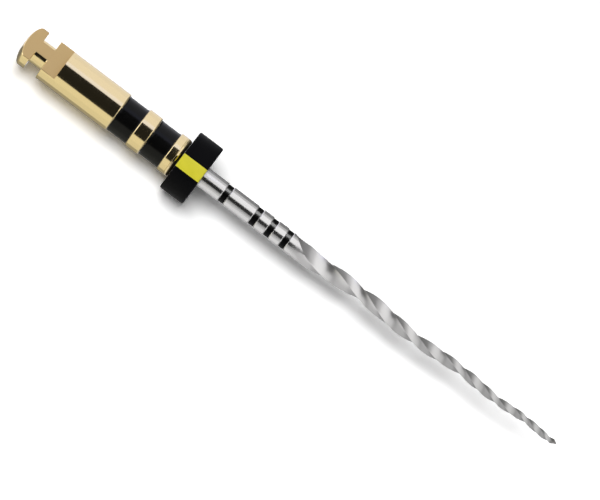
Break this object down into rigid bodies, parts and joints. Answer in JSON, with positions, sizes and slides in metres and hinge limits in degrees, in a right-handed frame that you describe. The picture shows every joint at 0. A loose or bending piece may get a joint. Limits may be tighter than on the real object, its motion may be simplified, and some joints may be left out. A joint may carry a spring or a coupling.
{
  "type": "endodontic file",
  "caption": "Rotary root canal file: gold plated latch handle with black colour rings, a plain banded shaft with a sliding silicone stop, and a tapered twisted blade.",
  "frame": {"origin": "middle of the domed latch end of the handle, on the file's axis", "axes": "+X along the file's axis from the latch end to the tip; +Z out of the drive flat on the latch; +Y completes a right-handed frame"},
  "size_m": [0.0354, 0.0036, 0.0036],
  "materials": {
    "gold_plate": "turned brass with polished gold plating",
    "ring_black": "satin black epoxy lacquer baked into the groove",
    "bond_resin": "cured amber adhesive, out of sight in the bore",
    "nickel_titanium": "nickel-titanium wire, bright drawn on the shaft and finely ground on the blade",
    "band_black": "glossy black marking enamel",
    "stop_black": "moulded black silicone rubber, smooth and slightly waxy",
    "mark_yellow": "yellow silicone rubber moulded into the rim of the stop"
  },
  "bodies": {
    "file": {"latch_shank": "gold_plate", "rear_colour_ring": "ring_black", "front_colour_ring": "ring_black", "bond_sleeve": "bond_resin", "file_blank": "nickel_titanium", "depth_band_18": "band_black", "depth_band_19": "band_black", "depth_band_20": "band_black", "depth_band_22": "band_black"},
    "stop": {"silicone_stop": "stop_black", "direction_mark": "mark_yellow"}
  },
  "joints": [
    {"name": "stop_slide", "type": "slide", "parent": "file", "child": "stop", "axis": [1, 0, 0], "range_m": [0, 0.0115]}
  ]
}
